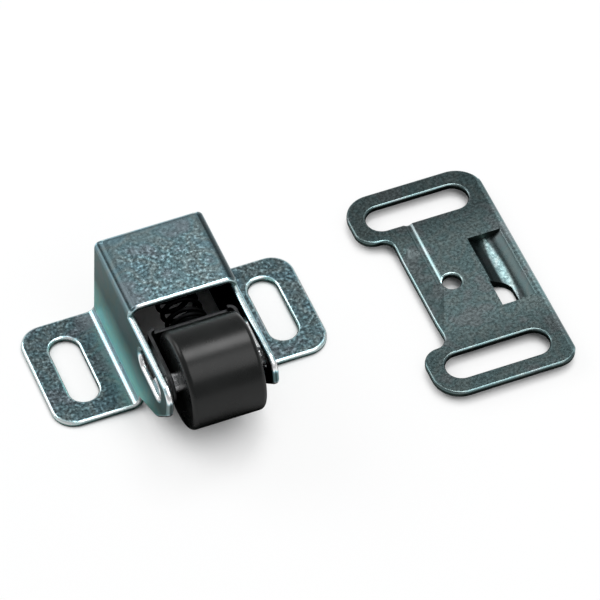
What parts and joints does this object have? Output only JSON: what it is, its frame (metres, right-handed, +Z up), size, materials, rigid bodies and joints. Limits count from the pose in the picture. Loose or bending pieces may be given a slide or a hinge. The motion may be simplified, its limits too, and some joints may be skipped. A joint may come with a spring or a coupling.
{
  "type": "roller catch",
  "caption": "Cabinet roller catch: a pressed steel case with a sprung black roller between two ears, and the slotted strike plate its roller snaps into.",
  "frame": {"origin": "midway between the case's two screw slots, on its mounting face", "axes": "+X along the case's feet, +Y towards its closed back (the roller faces -Y), +Z up from the mounting face"},
  "size_m": [0.0843, 0.046, 0.0213],
  "materials": {
    "case_zinc": "zinc plated, blue-grey passivated, speckled",
    "yoke_steel": "dark phosphated",
    "axle_steel": "bright drawn",
    "roller_black": "black satin moulded",
    "spring_wire": "oil-tempered wire",
    "strike_zinc": "zinc plated, smooth grey-green"
  },
  "bodies": {
    "case": {"housing": "case_zinc", "spring": "spring_wire", "strike": "strike_zinc"},
    "carrier": {"yoke": "yoke_steel", "axle": "axle_steel"},
    "wheel": {"roller": "roller_black"}
  },
  "joints": [
    {"name": "roller_push", "type": "slide", "parent": "case", "child": "carrier", "axis": [0, 1, 0], "range_m": [0, 0.0048], "stiffness_N_per_m": 1500, "springref_m": -0.005, "deforming": ["spring"]},
    {"name": "roller_spin", "type": "hinge", "parent": "carrier", "child": "wheel", "pos_m": [0, -0.018, 0.013], "axis": [1, 0, 0], "continuous": true}
  ]
}
